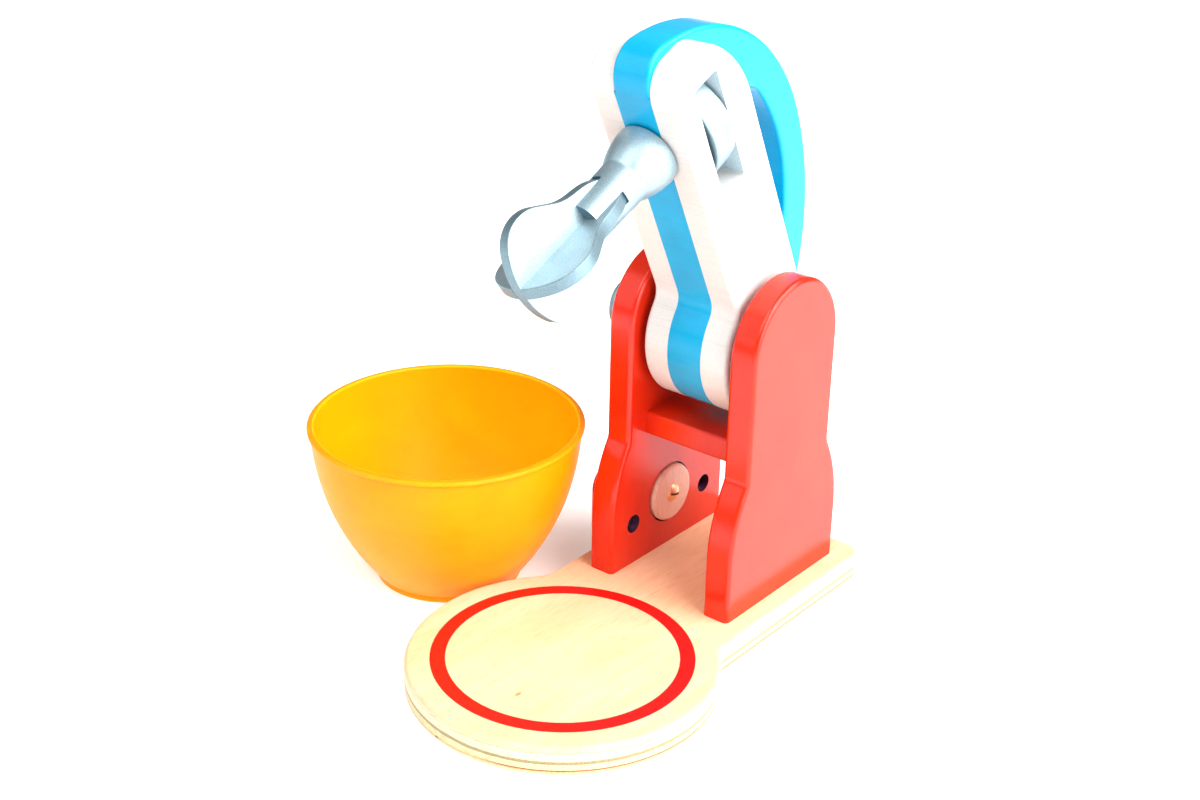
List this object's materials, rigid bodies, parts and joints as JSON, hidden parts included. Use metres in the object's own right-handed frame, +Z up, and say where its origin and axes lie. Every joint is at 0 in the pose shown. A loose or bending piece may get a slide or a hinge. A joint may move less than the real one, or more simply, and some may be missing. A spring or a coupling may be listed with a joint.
{
  "type": "toy stand mixer",
  "caption": "Wooden toy stand mixer with tilting head, hand-turned whisk, speed dial, round bowl stand and a loose mixing bowl.",
  "frame": {"origin": "on the underside of the base plate, below the centre of the round bowl stand", "axes": "+Z up, -Y to the front, where the bowl stands under the lowered whisk, +X to the cheek without the dial"},
  "size_m": [0.2125, 0.2077, 0.245],
  "materials": {
    "birch_plywood": "clear satin lacquer",
    "red_lacquer": "gloss paint",
    "blue_lacquer": "gloss paint",
    "white_lacquer": "gloss paint",
    "silver_paint": "metallic paint",
    "beech_wood": "bare",
    "brass_screw": "satin",
    "steel_screw": "dark plated",
    "yellow_plastic": "satin moulded"
  },
  "bodies": {
    "stand": {"base_plate": "birch_plywood", "left_cheek": "red_lacquer", "right_cheek": "red_lacquer", "crossbar": "red_lacquer", "crossbar_dowel_left_front": "beech_wood", "crossbar_dowel_left_rear": "beech_wood", "crossbar_dowel_right_front": "beech_wood", "crossbar_dowel_right_rear": "beech_wood", "cheek_screw_left_front": "steel_screw", "cheek_screw_left_rear": "steel_screw", "cheek_screw_right_front": "steel_screw", "cheek_screw_right_rear": "steel_screw", "dial_plate": "red_lacquer", "dial_plate_screw_front": "steel_screw", "dial_plate_screw_rear": "steel_screw"},
    "head": {"head_core": "blue_lacquer", "left_head_panel": "white_lacquer", "right_head_panel": "white_lacquer", "hinge_peg": "beech_wood", "hinge_knob": "silver_paint", "hinge_spacer_left": "beech_wood", "hinge_spacer_right": "beech_wood"},
    "whisk": {"whisk_spindle": "silver_paint", "whisk_axle": "beech_wood", "thumb_wheel": "silver_paint", "whisk_board_a": "silver_paint", "whisk_board_b": "silver_paint"},
    "dial": {"dial_knob": "silver_paint", "dial_spindle": "beech_wood", "dial_disc": "silver_paint", "dial_screw": "brass_screw"},
    "bowl": {"bowl": "yellow_plastic"}
  },
  "joints": [
    {"name": "head_tilt", "type": "hinge", "parent": "stand", "child": "head", "pos_m": [0, 0.0995, 0.114], "axis": [1, 0, 0], "range_deg": [-6, 64]},
    {"name": "whisk_spin", "type": "hinge", "parent": "head", "child": "whisk", "pos_m": [0, 0.05461, 0.20604], "axis": [0, -0.8988, -0.4384], "continuous": true},
    {"name": "dial_turn", "type": "hinge", "parent": "stand", "child": "dial", "pos_m": [-0.0292, 0.097, 0.0362], "axis": [1, 0, 0], "continuous": true},
    {"name": "bowl_lift", "type": "slide", "parent": "stand", "child": "bowl", "axis": [0, 0, 1], "range_m": [0, 0.15]}
  ]
}
